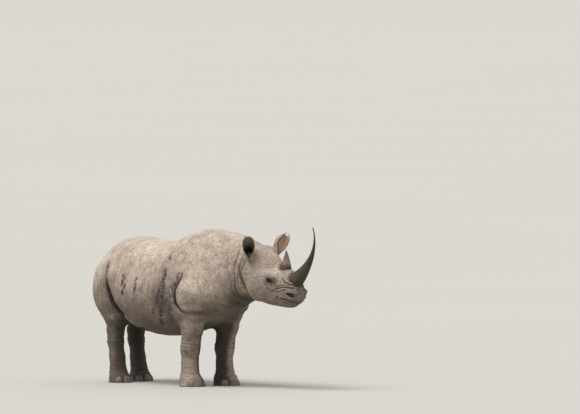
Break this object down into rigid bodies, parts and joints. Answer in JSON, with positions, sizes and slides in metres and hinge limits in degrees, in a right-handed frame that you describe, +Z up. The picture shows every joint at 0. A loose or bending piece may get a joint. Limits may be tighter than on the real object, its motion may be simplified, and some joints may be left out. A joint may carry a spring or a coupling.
{
  "type": "black rhinoceros",
  "caption": "Life-size still model of a standing black rhinoceros, a large hook-lipped animal with a long front horn and a shorter rear horn, for a museum or natural scene.",
  "frame": {"origin": "on the floor under the middle of the whole animal's box", "axes": "+X the way the animal faces, +Y towards its left side, +Z up"},
  "size_m": [3.1086, 0.874, 1.5474],
  "materials": {
    "skin": "matt, dusty, finely creased hide",
    "horn": "fibrous horn, rough at the base and worn smooth at the tip",
    "nail": "dull horn",
    "eye": "wet, dark brown",
    "hair": "coarse dark hair"
  },
  "bodies": {
    "root": {"head": "skin", "neck": "skin", "trunk": "skin", "fore_leg_right": "skin", "fore_leg_left": "skin", "hind_leg_right": "skin", "hind_leg_left": "skin", "horn_front": "horn", "horn_rear": "horn", "ear_left": "skin", "eye_left": "eye", "ear_right": "skin", "eye_right": "eye", "fore_toenail_right_1": "nail", "fore_toenail_right_2": "nail", "fore_toenail_right_3": "nail", "fore_toenail_left_1": "nail", "fore_toenail_left_2": "nail", "fore_toenail_left_3": "nail", "hind_toenail_right_1": "nail", "hind_toenail_right_2": "nail", "hind_toenail_right_3": "nail", "hind_toenail_left_1": "nail", "hind_toenail_left_2": "nail", "hind_toenail_left_3": "nail", "tail": "skin", "tail_tuft": "hair"}
  },
  "joints": []
}
